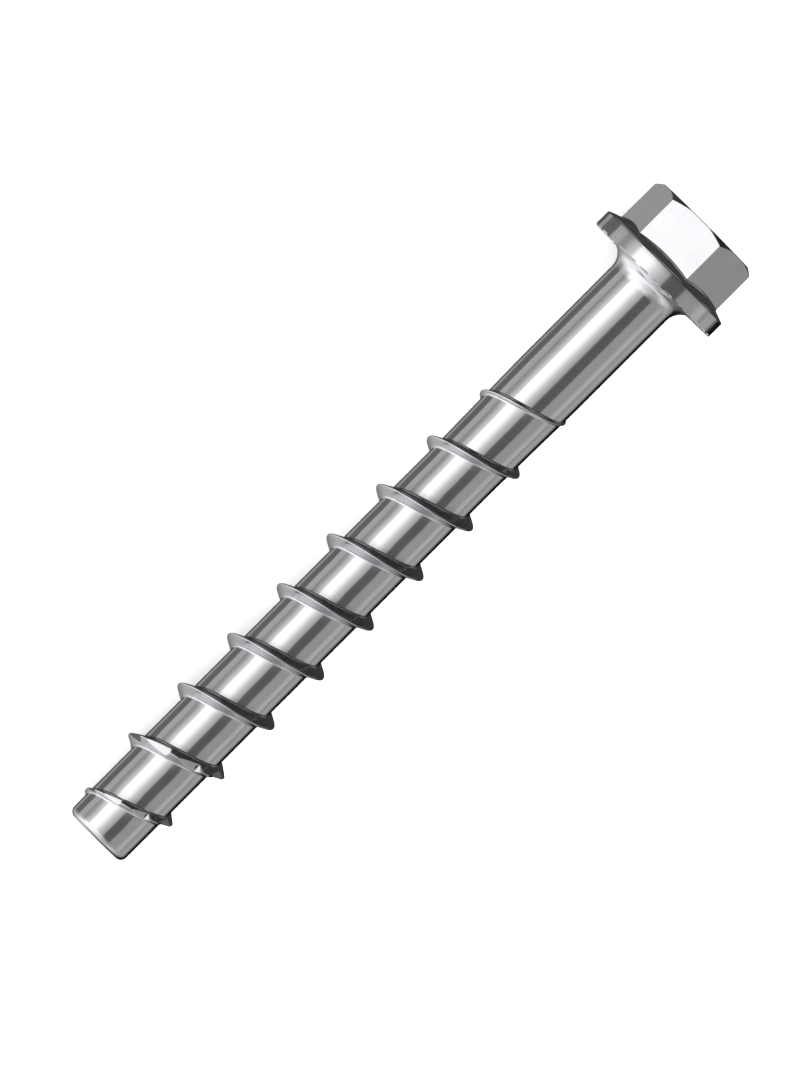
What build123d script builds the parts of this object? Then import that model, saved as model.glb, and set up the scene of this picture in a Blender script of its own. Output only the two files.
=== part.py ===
from build123d import *
import os
from math import acos, atan2, ceil, cos, degrees, pi, radians, sin, tan

# Concrete screw with a hexagon flange head, in millimetres.
# It is one cold-forged and thread-rolled piece of steel: hexagon, flange with locking teeth,
# plain shank, tapered neck, core, and one coarse right-hand thread whose first turns are notched
# like a saw to cut concrete.
#
# It is modelled about its own axis first: Z runs from the bearing face under the flange to the
# tip, and angles are counted about Z from +X towards +Y. At the end it is laid down as it comes
# to rest, with its flange and its thread touching one floor. The origin stays at the centre of
# the bearing face.

# Shank and core
under_head_length = 100.0
shank_diameter = 9.8
shank_length = 19.0
core_diameter = 9.3
neck_length = 14.3
tip_edge_radius = 0.95
under_head_fillet = 2.5

# Hexagon and flange
across_flats = 14.8
head_height = 9.6
head_chamfer_circle = 14.92
head_chamfer_angle = 35.0
hexagon_corner_angle = 39.05
flange_diameter = 20.3
flange_rim_height = 2.2
flange_cone_angle = 20.0
flange_edge_chamfer = 0.2

# Locking teeth under the flange
tooth_count = 30
tooth_height = 0.2
tooth_length = 2.15
tooth_tip_width = 0.5
tooth_slope_width = 0.35
tooth_steep_width = 0.15
first_tooth_angle = 170.9

# Thread
thread_diameter = 12.6
thread_pitch = 8.9
thread_base_width = 1.75
thread_crest_width = 0.18
thread_tip_inset = 0.8
thread_start_angle = 18.0
thread_top_distance = 17.0
lead_in_turns = 1.5
run_out_length = 20.5

# Saw notches in the first turns of the thread
notches_per_turn = 8
notched_turns = 2
first_notch_turn = 0.278
notch_depth = 1.04
notch_floor_above_core = 0.2
notch_steep_lean = 16.0

# The notch that the screw lies on at rest, counted from 0 at the tip
rest_notch = 7

# How the shapes are drawn: the handles of a curve that stands for a quarter circle, as a share
# of its radius, the points along the thread's edges, how deep the thread's foot stands in the
# core, how far the notch cutter stands out past the crest, and how closely the rest is found
quarter_handle_share = 0.5523
points_per_turn = 16
thread_foot_depth = 0.3
notch_cutter_clearance = 1.0
rest_angle_tolerance = 0.0001

shank_radius = shank_diameter / 2
core_radius = core_diameter / 2
flange_radius = flange_diameter / 2
thread_radius = thread_diameter / 2
thread_height = thread_radius - core_radius
thread_start_distance = under_head_length - thread_tip_inset
thread_turns = (thread_start_distance - thread_top_distance) / thread_pitch
flank_slope = (thread_base_width - thread_crest_width) / 2 / thread_height


def turned_body():
    """Flange, shank, neck and core, turned about the axis."""
    cone_end_radius = across_flats / 4
    cone_rise = (flange_radius - cone_end_radius) * tan(radians(flange_cone_angle))
    cone_end = -flange_rim_height - cone_rise
    rim_top = (flange_radius, -flange_rim_height)
    under_head_corner = (shank_radius, 0)
    tip_round_start = (core_radius, under_head_length - tip_edge_radius)
    tip_round_end = (core_radius - tip_edge_radius, under_head_length)
    tip_handle = tip_edge_radius * quarter_handle_share
    with BuildPart() as body:
        with BuildSketch(Plane.XZ) as section:
            with BuildLine():
                Polyline(
                    (0, cone_end),
                    (cone_end_radius, cone_end),
                    rim_top,
                    (flange_radius, 0),
                    under_head_corner,
                    (shank_radius, shank_length),
                    (core_radius, shank_length + neck_length),
                    tip_round_start,
                )
                Bezier(
                    tip_round_start,
                    (tip_round_start[0], tip_round_start[1] + tip_handle),
                    (tip_round_end[0] + tip_handle, tip_round_end[1]),
                    tip_round_end,
                )
                Polyline(tip_round_end, (0, under_head_length), (0, cone_end))
            make_face()
            corners = section.vertices()
            chamfer(corners.sort_by_distance(rim_top)[0], flange_edge_chamfer)
            fillet(corners.sort_by_distance(under_head_corner)[0], under_head_fillet)
        revolve(axis=Axis.Z)
    return body.part


def hexagon():
    """The driving hexagon, with its upper corners turned off to a cone."""
    corner_radius = across_flats / 2 / cos(radians(30))
    chamfer_radius = head_chamfer_circle / 2
    drop = (corner_radius - chamfer_radius) * tan(radians(head_chamfer_angle))
    barrel_height = head_height - flange_rim_height - drop
    outline = RegularPolygon(corner_radius, 6, rotation=hexagon_corner_angle)
    prism = extrude(outline, amount=-barrel_height - drop)
    barrel = Pos(0, 0, -barrel_height / 2) * Cylinder(corner_radius, barrel_height)
    cone = Cone(chamfer_radius, corner_radius, drop)
    blank = barrel + Pos(0, 0, -barrel_height - drop / 2) * cone
    return Pos(0, 0, -flange_rim_height) * (prism & blank)


def locking_teeth():
    """Ratchet teeth that stand out of the bearing face and run to the rim.

    They slide over the fixture when the screw is driven and bite when it turns back.
    """
    half_tip = tooth_tip_width / 2
    section = Polyline(
        (-half_tip - tooth_steep_width, 0),
        (-half_tip, tooth_height),
        (half_tip, tooth_height),
        (half_tip + tooth_slope_width, 0),
        close=True,
    )
    inner_end = (flange_radius - tooth_length, 0, 0)
    tooth_plane = Plane(origin=inner_end, x_dir=(0, 1, 0), z_dir=(1, 0, 0))
    tooth = extrude(tooth_plane * make_face(section), amount=2 * tooth_length)
    tooth &= Cylinder(flange_radius, 4 * tooth_height)
    spacing = 360 / tooth_count
    return [Rot(0, 0, first_tooth_angle + spacing * n) * tooth for n in range(tooth_count)]


def thread_distance(turn):
    """Distance from the bearing face after so many turns from the thread's start."""
    return thread_start_distance - thread_pitch * turn


def thread_angle(turn):
    """Angle about the axis after so many turns from the thread's start."""
    return thread_start_angle - 360 * turn


def crest_radius(turn):
    """Radius of the crest: eased in at the tip, then full, then run out into the shank."""
    if turn < lead_in_turns:
        return core_radius + thread_height * sin(pi / 2 * turn / lead_in_turns)
    from_top = thread_distance(turn) - thread_top_distance
    if from_top < run_out_length:
        end_radius = shank_radius - thread_crest_width / 4
        return end_radius + (thread_radius - end_radius) * from_top / run_out_length
    return thread_radius


def thread_edge(start, end, on_crest, side):
    """One long edge of a stretch of thread; side is -1 to the head and 1 to the tip."""
    steps = ceil((end - start) * points_per_turn)
    turns = [start + (end - start) * n / steps for n in range(steps + 1)]
    foot_radius = core_radius - thread_foot_depth
    points = []
    for turn in turns:
        crest = crest_radius(turn)
        radius = crest if on_crest else foot_radius
        half_width = thread_crest_width / 2 + flank_slope * (crest - radius)
        around = Vector(radius, 0, 0).rotate(Axis.Z, thread_angle(turn))
        points.append(around + Vector(0, 0, thread_distance(turn) + side * half_width))
    return Edge.make_spline(points, parameters=turns)


def thread_stretch(start, end):
    """A stretch of thread: two flanks, the crest, a foot inside the core and two ends."""
    edges = [
        thread_edge(start, end, on_crest=False, side=-1),
        thread_edge(start, end, on_crest=True, side=-1),
        thread_edge(start, end, on_crest=True, side=1),
        thread_edge(start, end, on_crest=False, side=1),
    ]
    pairs = zip(edges, edges[1:] + edges[:1])
    sides = [Face.make_surface_from_curves(one, other) for one, other in pairs]
    ends = []
    for position in (0, 1):
        corners = [edge @ position for edge in edges]
        ends.append(Face(Wire.make_polygon(corners, close=True)))
    return Solid(Shell(sides + ends))


def thread():
    """The whole thread, in stretches of a little under one turn."""
    count = ceil(thread_turns)
    marks = [thread_turns * n / count for n in range(count + 1)]
    return [thread_stretch(start, end) for start, end in zip(marks, marks[1:])]


def notch_turn(number):
    """Where a notch's steep face is, in turns from the thread's start."""
    return first_notch_turn + number / notches_per_turn


def notch_floor(turn):
    """How far the flat floor of a notch is from the axis."""
    return max(crest_radius(turn) - notch_depth, core_radius + notch_floor_above_core)


def notch(turn):
    """A saw notch: a flat floor that deepens away from the tip and ends in a steep face."""
    step_radius = crest_radius(turn)
    floor = notch_floor(turn)
    clear = step_radius + notch_cutter_clearance
    lean = tan(radians(notch_steep_lean))
    floor_length = clear * sin(acos(floor / clear))
    section = Polyline(
        ((step_radius - floor) * lean, floor),
        (floor_length, floor),
        (floor_length, clear),
        ((step_radius - clear) * lean, clear),
        close=True,
    )
    half_width = thread_base_width + thread_pitch / notches_per_turn
    across_axis = Plane(origin=(0, 0, 0), x_dir=(0, 1, 0), z_dir=(0, 0, -1))
    cutter = extrude(across_axis * make_face(section), amount=half_width, both=True)
    return Pos(0, 0, thread_distance(turn)) * Rot(0, 0, thread_angle(turn)) * cutter


def notches():
    """All saw notches, from the tip back."""
    return [notch(notch_turn(number)) for number in range(notches_per_turn * notched_turns)]


def dip_on(turn, side):
    """The tip's dip with the flange and one point of the crest on the floor, and a side down."""
    reach = crest_radius(turn) * cos(radians(thread_angle(turn) - side))
    return atan2(flange_radius - reach, thread_distance(turn))


def rest():
    """The side that lies down, as an angle about the axis, and the tip's dip, in degrees.

    The screw lies on its flange and on the two crest corners beside one notch. The side is
    found between the corners, where both give the same dip.
    """
    steep_end = notch_turn(rest_notch)
    notch_angle = degrees(acos(notch_floor(steep_end) / crest_radius(steep_end)))
    shallow_end = steep_end - notch_angle / 360
    low, high = thread_angle(steep_end), thread_angle(shallow_end)
    while high - low > rest_angle_tolerance:
        side = (low + high) / 2
        if dip_on(shallow_end, side) > dip_on(steep_end, side):
            low = side
        else:
            high = side
    return low, degrees(dip_on(steep_end, low))


screw = turned_body() + hexagon() + locking_teeth()
screw += thread()
screw -= notches()

side_down, dip = rest()
screw = Rot(0, 90 + dip, 0) * Rot(0, 0, -side_down) * screw

os.makedirs("parts", exist_ok=True)
export_step(screw, "parts/concrete_screw.step")
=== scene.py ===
from math import acos, atan, atan2, ceil, cos, degrees, pi, radians, sin, sqrt, tan

import bmesh
import bpy
from mathutils import Matrix, Vector
from mathutils.geometry import tessellate_polygon


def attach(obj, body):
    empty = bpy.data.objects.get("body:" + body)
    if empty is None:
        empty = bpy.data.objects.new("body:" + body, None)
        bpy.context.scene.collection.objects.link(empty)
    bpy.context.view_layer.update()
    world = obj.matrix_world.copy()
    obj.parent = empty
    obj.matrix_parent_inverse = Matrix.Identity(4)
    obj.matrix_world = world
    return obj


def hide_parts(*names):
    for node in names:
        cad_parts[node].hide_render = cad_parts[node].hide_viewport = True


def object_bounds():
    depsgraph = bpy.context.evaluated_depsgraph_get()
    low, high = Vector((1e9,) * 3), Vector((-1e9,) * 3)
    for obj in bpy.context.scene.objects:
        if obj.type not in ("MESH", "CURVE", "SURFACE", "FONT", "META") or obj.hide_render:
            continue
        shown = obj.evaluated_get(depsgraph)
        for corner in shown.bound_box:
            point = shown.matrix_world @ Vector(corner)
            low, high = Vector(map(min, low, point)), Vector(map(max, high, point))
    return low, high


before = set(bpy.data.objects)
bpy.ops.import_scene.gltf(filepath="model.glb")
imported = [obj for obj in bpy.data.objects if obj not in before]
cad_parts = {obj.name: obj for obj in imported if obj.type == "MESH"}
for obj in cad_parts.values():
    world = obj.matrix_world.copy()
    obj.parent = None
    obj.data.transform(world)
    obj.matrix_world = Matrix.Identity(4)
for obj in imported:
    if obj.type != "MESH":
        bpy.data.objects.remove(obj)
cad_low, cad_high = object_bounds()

# Core and thread of the screw. The screw is one piece of carbon steel, and this coarse right-hand
# thread is rolled up out of its core, with a small fillet at the root and a rounded crest.
# Millimetres, along the screw's own axis from the bearing face under its head to its tip.
under_head_length = 100.0
shank_radius = 4.9
shank_length = 19.0
neck_length = 14.3
core_radius = 4.65
tip_edge_round = 0.95
thread_radius = 6.3
thread_pitch = 8.9
half_crest = 0.09
half_base = 0.875
thread_start_distance = 99.2
thread_start_angle = 18.0
thread_top_distance = 17.0
lead_in_turns = 1.5
run_out_length = 20.5
root_fillet = 0.35
crest_round = 0.15
root_steps = 5
crest_steps = 4
round_share = 0.8
full_turn = 2 * pi

thread_height = thread_radius - core_radius
flank_slope = (half_base - half_crest) / thread_height
flank_turn = pi / 2 - atan(flank_slope)

points = []
faces = []


def add_point(radius, angle, distance):
    """A point by its radius, its angle about the axis in degrees and its distance along it."""
    around = radians(angle)
    points.append(Vector((radius * cos(around), radius * sin(around), distance)))
    return len(points) - 1


def add_band(ring, places):
    """A new ring of points, joined to the last ring by a closed band of faces."""
    new_ring = [add_point(*place) for place in places]
    for n in range(len(ring)):
        after = (n + 1) % len(ring)
        faces.append((ring[n], ring[after], new_ring[after], new_ring[n]))
    return new_ring


def thread_distance(turn):
    """How far along the axis the crest is, so many turns from the thread's start at the tip."""
    return thread_start_distance - thread_pitch * turn


def thread_angle(turn):
    """The crest's angle about the axis, in degrees."""
    return thread_start_angle - 360 * turn


def body_radius(distance):
    """Shank, tapered neck and core under the thread."""
    along_neck = min(max((distance - shank_length) / neck_length, 0), 1)
    return shank_radius + (core_radius - shank_radius) * along_neck


def crest_radius(turn):
    """The crest eases in at the tip, runs full, then runs out into the shank."""
    if turn < lead_in_turns:
        return core_radius + thread_height * sin(pi / 2 * max(turn, 0) / lead_in_turns)
    end_radius = shank_radius - half_crest / 2
    from_top = (thread_distance(turn) - thread_top_distance) / run_out_length
    return end_radius + (thread_radius - end_radius) * min(from_top, 1)


# Saw notches, eight to a turn over the thread's first two turns. Each is ground or rolled into
# the crest: a flat floor that deepens away from the tip and ends in a steep face that cuts.
notches_per_turn = 8
notch_count = 16
first_notch_turn = 0.278
notch_depth = 1.04
notch_floor_above_core = 0.2
notch_steep_lean = radians(16)
notch_edge_round = 0.05
notched_width_share = 1.05
columns_per_notch = 16
floor_columns = 10
columns_per_turn = columns_per_notch * notches_per_turn


def notch_floor(turn):
    """How far the flat floor of a notch is from the axis."""
    return max(crest_radius(turn) - notch_depth, core_radius + notch_floor_above_core)


def ridge_place(column):
    """The turn at which a column of the mesh crosses the thread, and the thread's radius there.

    Among the notches the columns move to the notch's edges: the top and the foot of its steep
    face, and the line where its floor comes out of the crest.
    """
    number = ceil(column / columns_per_notch)
    if not 0 <= number < notch_count:
        turn = first_notch_turn + column / columns_per_turn
        return turn, crest_radius(turn)
    steep_end = first_notch_turn + number / notches_per_turn
    crest = crest_radius(steep_end)
    floor = notch_floor(steep_end)
    foot_angle = atan((crest - floor) * tan(notch_steep_lean) / floor)
    end_angle = acos(floor / crest_radius(steep_end - acos(floor / crest) / full_turn))
    step = number * columns_per_notch - column
    if step == 0:
        return steep_end, crest
    if step <= floor_columns + 1:
        angle = foot_angle + (end_angle - foot_angle) * (step - 1) / floor_columns
    else:
        share = (step - 1 - floor_columns) / (columns_per_notch - 1 - floor_columns)
        angle = end_angle + (full_turn / notches_per_turn - end_angle) * share
    turn = steep_end - angle / full_turn
    return turn, min(crest_radius(turn), floor / cos(angle))


def arc(along, radius, size, start, end, steps):
    """Points of an arc in a section as (along the axis, radius). Angle 0 points outward."""
    angles = [start + (end - start) * n / steps for n in range(steps + 1)]
    return [(along + size * sin(angle), radius + size * cos(angle)) for angle in angles]


def half_ridge(turn, top):
    """Half of the thread's section, from the core beside its root to the middle of its top."""
    core = body_radius(thread_distance(turn))
    height = max(top - core, 0)
    base = half_crest + flank_slope * max(crest_radius(turn) - core, 0)
    half_top = max(base - flank_slope * height, half_crest)
    is_notched = half_top > notched_width_share * half_crest
    edge = notch_edge_round if is_notched else crest_round
    edge = min(edge, half_top / tan(flank_turn / 2), round_share * height)
    fillet = min(root_fillet, round_share * height)
    root_reach = fillet * tan(flank_turn / 2)
    edge_reach = edge * tan(flank_turn / 2)
    lower = arc(base + root_reach, core + fillet, fillet, pi, pi + flank_turn, root_steps)
    upper = arc(half_top - edge_reach, core + height - edge, edge, flank_turn, 0, crest_steps)
    middle = ((lower[-1][0] + upper[0][0]) / 2, (lower[-1][1] + upper[0][1]) / 2)
    return lower + [middle] + upper


shank_ring_distance = 8.0
tip_ring_distance = under_head_length - tip_edge_round


def column_places(column):
    """A column of the mesh, half a pitch to each side of the thread: radius, angle, distance."""
    turn = first_notch_turn + column / columns_per_turn
    ridge_turn, top = ridge_place(column)
    half = half_ridge(ridge_turn, top)
    middle = thread_distance(ridge_turn)
    ridge = [(middle + along, radius) for along, radius in half]
    ridge += [(middle - along, radius) for along, radius in reversed(half)]
    first = thread_distance(turn) + thread_pitch / 2
    last = thread_distance(turn) - thread_pitch / 2
    outer_angle, ridge_angle = thread_angle(turn), thread_angle(ridge_turn)
    between = (outer_angle + ridge_angle) / 2
    places = [(0, outer_angle, first), (0, between, (first + ridge[0][0]) / 2)]
    places += [(radius, ridge_angle, distance) for distance, radius in ridge]
    places += [(0, between, (last + ridge[-1][0]) / 2), (0, outer_angle, last)]
    kept = []
    for radius, angle, distance in places:
        if distance > tip_ring_distance:
            radius = 0
        distance = min(max(distance, shank_ring_distance), tip_ring_distance)
        kept.append((max(radius, body_radius(distance)), angle, distance))
    return kept


def last_column_past(distance):
    """The last column whose end towards the tip is at least this far along."""
    turn = (thread_start_distance + thread_pitch / 2 - distance) / thread_pitch
    return int((turn - first_notch_turn) * columns_per_turn)


first_column = last_column_past(tip_ring_distance) - columns_per_turn + 1
last_column = last_column_past(shank_ring_distance)
places = [column_places(column) for column in range(first_column, last_column + 1)]
shank_places = [column[-1] for column in places[-columns_per_turn:]]
shank_ring = [add_point(*place) for place in shank_places]
columns = [[add_point(*place) for place in column[:-1]] for column in places]
next_turn = [column[0] for column in columns[columns_per_turn:]] + shank_ring
for column, next_turn_start in zip(columns, next_turn):
    column.append(next_turn_start)
for column, after in zip(columns, columns[1:]):
    for n in range(len(column) - 1):
        faces.append((column[n], column[n + 1], after[n + 1], after[n]))
tip_corner = columns[columns_per_turn - 1][0]
for corner, column in ((tip_corner, columns[0]), (shank_ring[0], columns[-1])):
    for start, end in zip(column, column[1:]):
        faces.append((corner, start, end))

# Tip: the end of the core. The wire is sheared flat here, and its edge is rolled round, so that
# the screw finds the mouth of the drilled hole.
tip_steps = 10
tip_flat_share = 0.6

tip_angles = [column[0][1] for column in places[:columns_per_turn]]
ring = [column[0] for column in columns[:columns_per_turn]]
for step in range(1, tip_steps + 1):
    turned = pi / 2 * step / tip_steps
    radius = core_radius - tip_edge_round * (1 - cos(turned))
    distance = tip_ring_distance + tip_edge_round * sin(turned)
    ring = add_band(ring, [(radius, angle, distance) for angle in tip_angles])
radius = core_radius * tip_flat_share
ring = add_band(ring, [(radius, angle, under_head_length) for angle in tip_angles])
faces.append(tuple(ring))

# Shank: the drawn wire itself, left plain and a little thicker than the core. A large fillet,
# forged with the head, leads it into the flange.
under_head_fillet = 2.5
fillet_steps = 20

shank_angles = [place[1] for place in shank_places]
middle = (shank_ring_distance + under_head_fillet) / 2
ring = add_band(shank_ring, [(shank_radius, angle, middle) for angle in shank_angles])
for step in range(fillet_steps + 1):
    turned = pi / 2 * step / fillet_steps
    radius = shank_radius + under_head_fillet * (1 - cos(turned))
    distance = under_head_fillet * (1 - sin(turned))
    ring = add_band(ring, [(radius, angle, distance) for angle in shank_angles])
fillet_ring = ring

# Hexagon: forged in one with the flange, for a socket or a spanner. Its flats stand upright, its
# top corners are turned off to a cone, and the die leaves its edges a little round.
hexagon_sides = 6
half_across_flats = 7.4
head_height = 9.6
head_chamfer_radius = 7.46
head_chamfer_angle = radians(35)
hexagon_corner_angle = 39.05
hexagon_edge_round = 0.12
hexagon_edge_steps = 4
hexagon_top_round = 0.12
chamfer_steps = 4
top_steps = 3
hexagon_foot_fillet = 0.25
foot_steps = 5

half_side = 180 / hexagon_sides
round_sideways = hexagon_edge_round * sin(radians(half_side))
round_outward = hexagon_edge_round * cos(radians(half_side))
corner_centre = (half_across_flats - hexagon_edge_round) / cos(radians(half_side))
corner_reach = degrees(atan2(round_sideways, corner_centre + round_outward))
inner_top_radius = head_chamfer_radius - hexagon_top_round * tan(head_chamfer_angle / 2)
chamfer_reach = degrees(acos(half_across_flats / (inner_top_radius + hexagon_top_round)))


def hexagon_radius(angle):
    """The hexagon's outline, with its six upright edges rounded."""
    from_corner = (angle - hexagon_corner_angle + half_side) % (2 * half_side) - half_side
    if abs(from_corner) < corner_reach:
        across = corner_centre * sin(radians(from_corner))
        along = corner_centre * cos(radians(from_corner))
        return along + sqrt(hexagon_edge_round**2 - across**2)
    return half_across_flats / cos(radians(half_side - abs(from_corner)))


hexagon_angles = []
for n in range(hexagon_sides):
    corner = hexagon_corner_angle + 2 * half_side * n
    for step in range(hexagon_edge_steps + 1):
        hexagon_angles.append(corner + corner_reach * (2 * step / hexagon_edge_steps - 1))
    middle = corner + half_side
    hexagon_angles += [middle - chamfer_reach, middle + chamfer_reach]

# Flange and its locking teeth: the flange spreads the load, and thirty ratchet teeth pressed out
# of its bearing face run to the rim. They slide when driven and bite when turned back.
flange_radius = 10.15
flange_rim_height = 2.2
flange_cone_angle = radians(20)
flange_edge_round = 0.25
flange_edge_steps = 6
rim_levels = (0.1, 0.5)
tooth_count = 30
tooth_height = 0.2
tooth_length = 2.15
half_tooth_tip = 0.25
tooth_slope_width = 0.35
tooth_steep_width = 0.15
first_tooth_angle = 170.9
gap_steps = 4

tooth_corners = [
    (-half_tooth_tip - tooth_steep_width, 0),
    (-half_tooth_tip, tooth_height),
    (half_tooth_tip, tooth_height),
    (half_tooth_tip + tooth_slope_width, 0),
]
tooth_spacing = 360 / tooth_count
tooth_inner_radius = flange_radius - tooth_length

# The foot of the rim, side by side: steep face, tip and slope of a tooth, then the gap after it
rim_places = []
rim_sides = []
inner_corners = []
for n in range(tooth_count):
    middle = first_tooth_angle + tooth_spacing * n
    stops = []
    inner = []
    for across, up in tooth_corners:
        stops.append((middle + degrees(atan2(across, flange_radius)), up))
        radius = sqrt(tooth_inner_radius**2 + across**2)
        angle = middle + degrees(atan2(across, tooth_inner_radius))
        inner.append(add_point(radius, angle, up))
    inner_corners.append(inner)
    gap_start, gap_end = stops[3][0], stops[0][0] + tooth_spacing
    for step in range(1, gap_steps + 1):
        stops.append((gap_start + (gap_end - gap_start) * step / gap_steps, 0))
    for side, (start, end) in enumerate(zip(stops, stops[1:])):
        width = end[0] - start[0]
        ahead = [0] + sorted((angle - start[0]) % 360 for angle in hexagon_angles)
        for further in ahead:
            if further < width:
                up = start[1] + (end[1] - start[1]) * further / width
                rim_places.append((flange_radius, start[0] + further, up))
                rim_sides.append((n, min(side, 3)))
rim_ring = [add_point(*place) for place in rim_places]
rim_angles = [place[1] for place in rim_places]


def rim_side(tooth, side):
    """The rim's points along one side of a tooth or along its gap, to the next side's first."""
    inside = [k for k, name in enumerate(rim_sides) if name == (tooth, side)]
    return [rim_ring[k] for k in inside] + [rim_ring[(inside[-1] + 1) % len(rim_ring)]]


land_outline = []
for n, inner in enumerate(inner_corners):
    for side in range(3):
        faces.append((inner[side], *rim_side(n, side), inner[side + 1]))
    faces.append(tuple(inner))
    land_outline += [rim_side(n, 0)[0], inner[0], inner[3]] + rim_side(n, 3)[:-1]
land_corners = land_outline + fillet_ring
land_loops = [[points[k] for k in loop] for loop in (land_outline, fillet_ring)]
for triangle in tessellate_polygon(land_loops):
    faces.append(tuple(land_corners[k] for k in triangle))

edge_turn = pi / 2 - flange_cone_angle
edge_reach = flange_edge_round * tan(edge_turn / 2)
ring = rim_ring
for level in rim_levels:
    distance = -flange_rim_height * level
    ring = add_band(ring, [(flange_radius, angle, distance) for angle in rim_angles])
for step in range(flange_edge_steps + 1):
    turned = edge_turn * step / flange_edge_steps
    radius = flange_radius - flange_edge_round * (1 - cos(turned))
    distance = edge_reach - flange_rim_height - flange_edge_round * sin(turned)
    ring = add_band(ring, [(radius, angle, distance) for angle in rim_angles])


def head_profile(angle):
    """From the hexagon's foot on the flange's cone to its flat top: radius, angle, distance."""
    side = hexagon_radius(angle)
    cone = -flange_rim_height - (flange_radius - side) * tan(flange_cone_angle)
    foot = cone - hexagon_foot_fillet * tan(edge_turn / 2)
    profile = []
    for step in range(foot_steps + 1):
        turned = edge_turn * (1 - step / foot_steps)
        radius = side + hexagon_foot_fillet * (1 - cos(turned))
        profile.append((radius, foot + hexagon_foot_fillet * sin(turned)))
    level = hexagon_top_round - head_height
    chamfer_start = side - hexagon_top_round
    drop = max(0, chamfer_start - inner_top_radius) * tan(head_chamfer_angle)
    top_start = min(chamfer_start, inner_top_radius)
    profile.append((side, (foot + level + drop) / 2))
    chamfer_turn = pi / 2 - head_chamfer_angle
    rounds = []
    for step in range(chamfer_steps + 1):
        rounds.append((chamfer_start, drop, chamfer_turn * step / chamfer_steps))
    for step in range(top_steps + 1):
        rounds.append((top_start, 0, chamfer_turn + head_chamfer_angle * step / top_steps))
    for start, below, turned in rounds:
        radius = start + hexagon_top_round * cos(turned)
        profile.append((radius, level + below - hexagon_top_round * sin(turned)))
    return [(radius, angle, distance) for radius, distance in profile]


for level_places in zip(*[head_profile(angle) for angle in rim_angles]):
    ring = add_band(ring, level_places)
faces.append(tuple(ring))

# The screw laid down. A screw can't stand unheld, so it lies as it comes to rest: on its flange
# and on the two crest corners beside one saw notch, with its tip a little lower than its head.
rest_notch = 7
rest_tolerance = 0.0001
merge_distance = 0.0004
flat_tolerance = 0.000001
sharp_angle = radians(32)
millimetre = 0.001


def dip_on(turn, side):
    """The tip's dip with the flange and one point of the crest on the floor, and a side down."""
    reach = crest_radius(turn) * cos(radians(thread_angle(turn) - side))
    return atan2(flange_radius - reach, thread_distance(turn))


def rest():
    """The side that lies down, in degrees, and the tip's dip, in radians."""
    steep_end = first_notch_turn + rest_notch / notches_per_turn
    notch_angle = acos(notch_floor(steep_end) / crest_radius(steep_end))
    shallow_end = steep_end - notch_angle / full_turn
    low, high = thread_angle(steep_end), thread_angle(shallow_end)
    while high - low > rest_tolerance:
        side = (low + high) / 2
        if dip_on(shallow_end, side) > dip_on(steep_end, side):
            low = side
        else:
            high = side
    return low, dip_on(steep_end, low)


side_down, dip = rest()
laid_down = Matrix.Rotation(pi / 2 + dip, 4, "Y") @ Matrix.Rotation(radians(-side_down), 4, "Z")
to_tip = laid_down @ Vector((0, 0, 1))
to_viewer = laid_down @ Vector((-1, 0, 0))
to_side = laid_down @ Vector((0, 1, 0))

screw_mesh = bpy.data.meshes.new("screw_body")
screw_mesh.from_pydata(points, [], faces)
draft = bmesh.new()
draft.from_mesh(screw_mesh)
bmesh.ops.remove_doubles(draft, verts=draft.verts, dist=merge_distance)
bmesh.ops.recalc_face_normals(draft, faces=draft.faces)
for n in range(hexagon_sides):
    middle = radians(hexagon_corner_angle + half_side + 2 * half_side * n)
    outward = Vector((cos(middle), sin(middle), 0))
    flat = []
    for face in draft.faces:
        is_level = face.normal.dot(outward) > 1 - flat_tolerance
        out_of_plane = face.calc_center_median().dot(outward) - half_across_flats
        if is_level and abs(out_of_plane) < merge_distance:
            flat.append(face)
    bmesh.ops.dissolve_faces(draft, faces=flat, use_verts=True)
bmesh.ops.transform(draft, matrix=Matrix.Scale(millimetre, 4) @ laid_down, verts=draft.verts)
draft.to_mesh(screw_mesh)
draft.free()
screw_mesh.shade_smooth()
screw_mesh.set_sharp_from_angle(angle=sharp_angle)
screw = bpy.data.objects.new("screw_body", screw_mesh)
bpy.context.scene.collection.objects.link(screw)
flats = screw.modifiers.new("flats", "WEIGHTED_NORMAL")
flats.keep_sharp = True

# Finish of the screw: bright zinc plating on rolled and forged steel, clean and unworn. It is a
# little cloudy, and faint marks run along it from the drawing of the wire. The thread's flanks
# and the tip's rounded edge get painted shade in their colour and are made duller, and forging
# dulls the top of the head.


class Value:
    """A socket that gives a number. Python's operators on it add Math nodes."""

    def __init__(self, shader, socket):
        self.shader = shader
        self.socket = socket

    def math(self, operation, first, second):
        return self.shader.node("Math", {"operation": operation}, {0: first, 1: second})

    def __add__(self, other):
        return self.math("ADD", self, other)

    def __radd__(self, other):
        return self.math("ADD", other, self)

    def __sub__(self, other):
        return self.math("SUBTRACT", self, other)

    def __rsub__(self, other):
        return self.math("SUBTRACT", other, self)

    def __mul__(self, other):
        return self.math("MULTIPLY", self, other)

    def __rmul__(self, other):
        return self.math("MULTIPLY", other, self)


class Shader:
    """The node tree of a material or of the world."""

    def __init__(self, owner):
        owner.use_nodes = True
        self.tree = owner.node_tree
        self.tree.nodes.clear()

    def node(self, kind, settings=None, inputs=None, output=0):
        """Adds a node of a kind, with its settings and then its sockets' values or links."""
        node = self.tree.nodes.new("ShaderNode" + kind)
        for name, setting in (settings or {}).items():
            if name == "stops":
                elements = node.color_ramp.elements
                while len(elements) < len(setting):
                    elements.new(1)
                for element, (position, colour) in zip(elements, setting):
                    element.position = position
                    element.color = (*colour, 1)
            else:
                setattr(node, name, setting)
        for name, value in (inputs or {}).items():
            if isinstance(value, Value):
                self.tree.links.new(value.socket, node.inputs[name])
            else:
                node.inputs[name].default_value = value
        return Value(self, node.outputs[output]) if node.outputs else None


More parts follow.
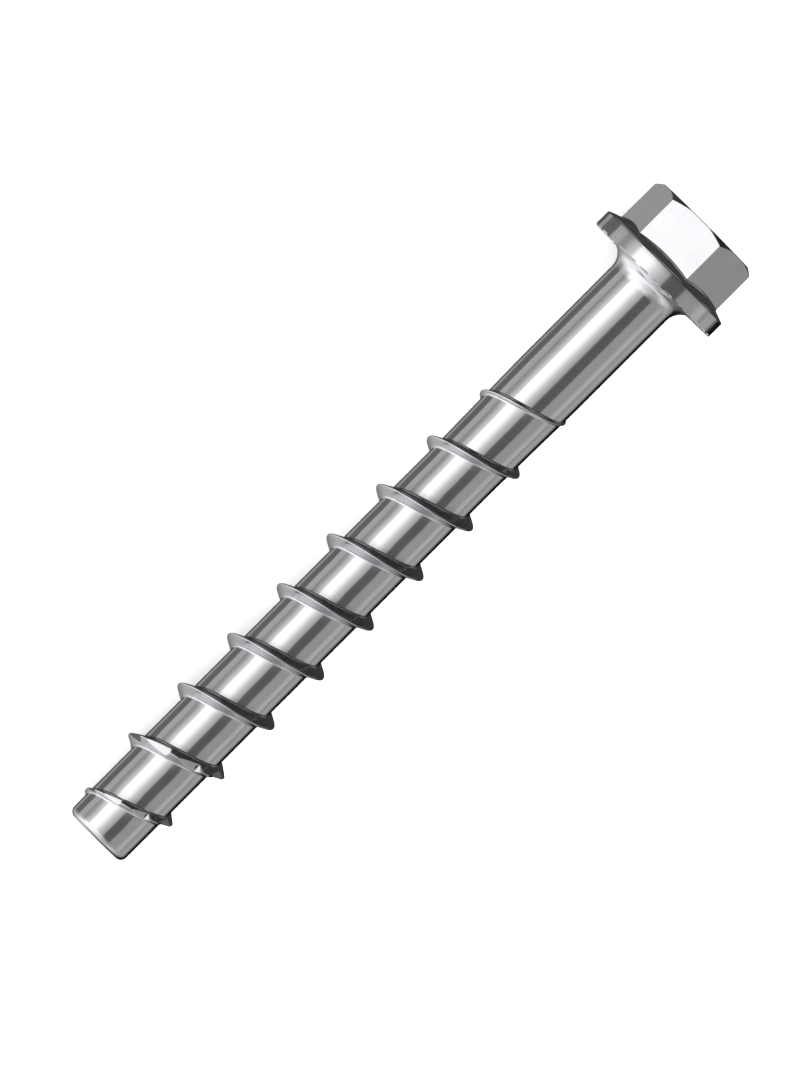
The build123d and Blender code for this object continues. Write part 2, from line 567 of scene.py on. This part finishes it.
cloud_size = 4.0
cloud_share = 0.6
draw_mark_width = 0.35
draw_mark_stretch = 30
draw_mark_share = 0.4
zinc_shade = (0.74, 0.745, 0.762)
zinc_shade_stop = 0.3
zinc_light = (0.80, 0.805, 0.822)
zinc_light_stop = 0.7
# Painted shade: the colour of the thread's flanks and of the tip's edge is multiplied by this
# grey
painted_shade_tone = (0.64, 0.64, 0.645, 1)
tip_side_blend = (0.71, 0.88)
head_side_blend = (-0.35, -0.65)
flank_fade_in = 2.0
tip_edge_blend = (0.45, 0.7)
tip_end_blend = (0.93, 0.99)
head_top_blend = (-0.95, -0.98)
gloss_roughness = 0.06
cloud_roughness = 0.04
draw_mark_roughness = 0.04
rolled_roughness = 0.09
head_top_roughness = 0.34

steel = bpy.data.materials.new("plated_steel")
shader = Shader(steel)
place = shader.node("TexCoord", output="Object")
facing = shader.node("TexCoord", output="Normal")


def part_along(way, vector):
    """How much of a vector goes this way."""
    return shader.node("VectorMath", {"operation": "DOT_PRODUCT"}, {0: vector, 1: way}, "Value")


def rise(value, start, end):
    """0 up to the start, 1 from the end on."""
    return shader.node("MapRange", None, {"Value": value, "From Min": start, "From Max": end})


def blend(share, first, second, blend_type="MIX"):
    """From one colour to another. They are sockets 6 and 7 of a Mix node, and 2 is their mix."""
    settings = {"data_type": "RGBA", "blend_type": blend_type}
    return shader.node("Mix", settings, {0: share, 6: first, 7: second}, 2)


def plating_noise(where, size):
    """Soft random patches of about this size in millimetres."""
    scale = 1 / (size * millimetre)
    return shader.node("TexNoise", None, {"Vector": where, "Scale": scale})


along = part_along(to_tip, place)
squeeze = along * (1 / draw_mark_stretch - 1)
shift = shader.node("VectorMath", {"operation": "SCALE"}, {0: to_tip, "Scale": squeeze})
drawn_place = shader.node("VectorMath", {"operation": "ADD"}, {0: place, 1: shift})
cloud = plating_noise(place, cloud_size)
draw_marks = plating_noise(drawn_place, draw_mark_width)
tone = shader.node(
    "ValToRGB",
    {"stops": [(zinc_shade_stop, zinc_shade), (zinc_light_stop, zinc_light)]},
    {"Fac": cloud * cloud_share + draw_marks * draw_mark_share},
)

faces_along = part_along(to_tip, facing)
fade_start = (thread_top_distance - flank_fade_in) * millimetre
on_thread = rise(along, fade_start, thread_top_distance * millimetre)
on_tip = rise(along, tip_ring_distance * millimetre, under_head_length * millimetre)
# Painted shade and dullness: the flanks and the tip's rounded edge, picked by the way they face,
# get a darker colour and a higher roughness
flank = rise(faces_along, *tip_side_blend) + rise(faces_along, *head_side_blend)
tip_edge = rise(faces_along, *tip_edge_blend) - rise(faces_along, *tip_end_blend)
flank_shade_and_dullness = flank * on_thread * (1 - on_tip) + tip_edge * on_tip
head_top = rise(faces_along, *head_top_blend)
# Painted shade: the colour is multiplied darker on the flanks and the tip's edge
colour = blend(flank_shade_and_dullness, tone, painted_shade_tone, "MULTIPLY")
dullness = cloud * cloud_roughness + draw_marks * draw_mark_roughness
dullness = gloss_roughness + dullness + flank_shade_and_dullness * rolled_roughness + head_top * head_top_roughness
surface = shader.node(
    "BsdfPrincipled",
    None,
    {"Base Color": colour, "Metallic": 1.0, "Roughness": dullness},
)
shader.node("OutputMaterial", None, {"Surface": surface})
screw_mesh.materials.append(steel)

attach(screw, "root")
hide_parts("concrete_screw")

# Floor: a plain matt white board, many times longer than the screw, that the screw lies on. The
# steel mirrors the studio's own boards in its place.
floor_half_width = 6.0
floor_colour = (0.92, 0.92, 0.92, 1)

floor_corners = []
for x, y in ((-1, -1), (1, -1), (1, 1), (-1, 1)):
    floor_corners.append((x * floor_half_width, y * floor_half_width, cad_low.z))
floor_mesh = bpy.data.meshes.new("floor")
floor_mesh.from_pydata(floor_corners, [], [(0, 1, 2, 3)])
floor = bpy.data.objects.new("floor", floor_mesh)
bpy.context.scene.collection.objects.link(floor)
board = bpy.data.materials.new("white_board")
shader = Shader(board)
surface = shader.node("BsdfDiffuse", None, {"Color": floor_colour})
shader.node("OutputMaterial", None, {"Surface": surface})
floor_mesh.materials.append(board)
floor.visible_glossy = False

# Studio: white light for the floor, and boards round the screw for the steel to mirror, with dark
# cloth past its head. A board spans two angles round the screw, from the viewer's side, and its
# level is the grey, of 0 to 255, that the steel shows: sampled on the photo, then adjusted.
board_rows = {
    "beside": [
        (-180, -150, 78),
        (-144, -134, 143),
        (-129, -101, 94),
        (-100, -81, 159),
        (-75, -68, 136),
        (-51, -48, 194),
        (-44, -20, 255),
        (-3, -1, 188),
        (8, 11, 162),
        (17, 43, 78),
        (47, 74, 138),
        (86, 95, 163),
        (100, 103, 132),
        (109, 127, 149),
        (141, 170, 14),
        (176, 180, 70),
    ],
    "past_tip": [
        (-180, -158, 146),
        (-145, -132, 172),
        (-124, -111, 150),
        (-101, -72, 187),
        (-60, -12, 255),
        (6, 10, 210),
        (28, 60, 134),
        (70, 89, 145),
        (105, 115, 156),
        (124, 131, 132),
        (140, 158, 26),
        (173, 180, 84),
    ],
    "far_past_tip": [
        (-180, -160, 196),
        (-142, -108, 236),
        (-88, -32, 252),
        (12, 14, 192),
        (38, 58, 160),
        (84, 89, 206),
        (105, 109, 182),
        (137, 152, 110),
        (172, 180, 132),
    ],
}
past_tip_blend = (0.06, 0.42)
far_past_tip_blend = (0.42, 0.7)
straight_past_tip = 235
straight_past_tip_blend = (0.9, 1.0)
low_past_tip = 110
low_past_tip_blend = (0.06, -0.14)
low_past_tip_edge_blend = (0.9, 0.97)
behind_head = 55
behind_head_blend = (-0.06, -0.2)
straight_behind_head = 12
straight_behind_head_blend = (-0.7, -0.95)
backdrop = 176
left_screen_blend = (-0.5, -0.62)
left_screen_slope = 0.35
left_screen_edge_blend = (-0.62, -0.74)
right_screen_blend = (0.34, 0.44)
right_screen_top_blend = (-0.36, -0.46)
right_screen_edge_blend = (-0.58, -0.66)
middle_screen_blend = (-0.95, -0.97)
white_level = 255
level_offset = 0.055
level_power = 2.4
steel_share = 0.76
floor_light = 2.4

world = bpy.data.worlds.new("studio")
bpy.context.scene.world = world
shader = Shader(world)
direction = shader.node("TexCoord", output="Generated")


def light_for(level):
    """The light that the steel shows as this grey level, by the curve of a computer screen."""
    light = ((level / white_level + level_offset) / (1 + level_offset)) ** level_power
    light /= steel_share
    return (light, light, light, 1)


def boards(row):
    """The light of one row of boards, soft between one board and the next."""
    stops = []
    for start, end, level in board_rows[row]:
        stops += [((angle + 180) / 360, light_for(level)[:3]) for angle in (start, end)]
    return shader.node("ValToRGB", {"stops": stops}, {"Fac": around})


ahead = part_along(to_tip, direction)
sideways = part_along(to_side, direction)
upward = part_along(to_viewer, direction)
angle = shader.node("Math", {"operation": "ARCTAN2"}, {0: sideways, 1: upward})
around = angle * (1 / full_turn) + 0.5
mirrored = blend(rise(ahead, *past_tip_blend), boards("beside"), boards("past_tip"))
mirrored = blend(rise(ahead, *far_past_tip_blend), mirrored, boards("far_past_tip"))
mirrored = blend(rise(ahead, *straight_past_tip_blend), mirrored, light_for(straight_past_tip))
low_board = rise(upward, *low_past_tip_blend) * rise(ahead, *low_past_tip_edge_blend)
mirrored = blend(low_board, mirrored, light_for(low_past_tip))

# Dark cloth hangs behind the head, with light screens beside it, low down and far behind
straight_behind = rise(ahead, *straight_behind_head_blend)
cloth = blend(straight_behind, light_for(behind_head), light_for(straight_behind_head))
mirrored = blend(rise(ahead, *behind_head_blend), mirrored, cloth)
left_screen = rise(ahead + left_screen_slope * upward, *left_screen_edge_blend)
left_screen = rise(sideways, *left_screen_blend) * left_screen
right_screen = rise(sideways, *right_screen_blend) * rise(upward, *right_screen_top_blend)
right_screen = rise(ahead, *right_screen_edge_blend) * right_screen
middle_screen = rise(ahead, *middle_screen_blend)
mirrored = blend(left_screen + right_screen + middle_screen, mirrored, light_for(backdrop))

glossy = shader.node("LightPath", output="Is Glossy Ray")
plain = (floor_light, floor_light, floor_light, 1)
background = shader.node("Background", None, {"Color": blend(glossy, plain, mirrored)})
shader.node("OutputWorld", None, {"Surface": background})

# Key lamp: one large soft lamp, high up to the left of the picture. It only gives the floor a
# faint shadow, and the steel doesn't mirror it.
key_strength = 0.15
key_spread = radians(50)
key_right, key_up, key_near = -0.75, 0.15, 0.64

picture_tilt = radians(44.988)
picture_right = to_side * sin(picture_tilt) - to_tip * cos(picture_tilt)
picture_up = -to_side * cos(picture_tilt) - to_tip * sin(picture_tilt)
key_light = bpy.data.lights.new("key", "SUN")
key_light.energy = key_strength
key_light.angle = key_spread
key = bpy.data.objects.new("key", key_light)
key.rotation_mode = "QUATERNION"
key_from = key_right * picture_right + key_up * picture_up + key_near * to_viewer
key.rotation_quaternion = key_from.to_track_quat("Z", "Y")
key.visible_glossy = False
bpy.context.scene.collection.objects.link(key)

# Camera: square to the screw's axis, on the side that the picture shows, and so far off that
# parallel lines stay parallel.
pixels_high = 1067
pixels_per_millimetre = 7.89
middle_from_bearing_face = 45.43
middle_to_side = 0.101
lens = 800.0
film_height = 36.0

view_height = pixels_high / pixels_per_millimetre * millimetre
middle = (to_tip * middle_from_bearing_face + to_side * middle_to_side) * millimetre
camera_data = bpy.data.cameras.new("camera")
camera_data.lens = lens
camera_data.sensor_width = film_height
camera = bpy.data.objects.new("camera", camera_data)
turned = Matrix((picture_right, picture_up, to_viewer)).transposed().to_4x4()
away = to_viewer * view_height * lens / film_height
camera.matrix_world = Matrix.Translation(middle + away) @ turned
bpy.context.scene.collection.objects.link(camera)
bpy.context.scene.camera = camera
bpy.context.scene.view_settings.view_transform = "Standard"
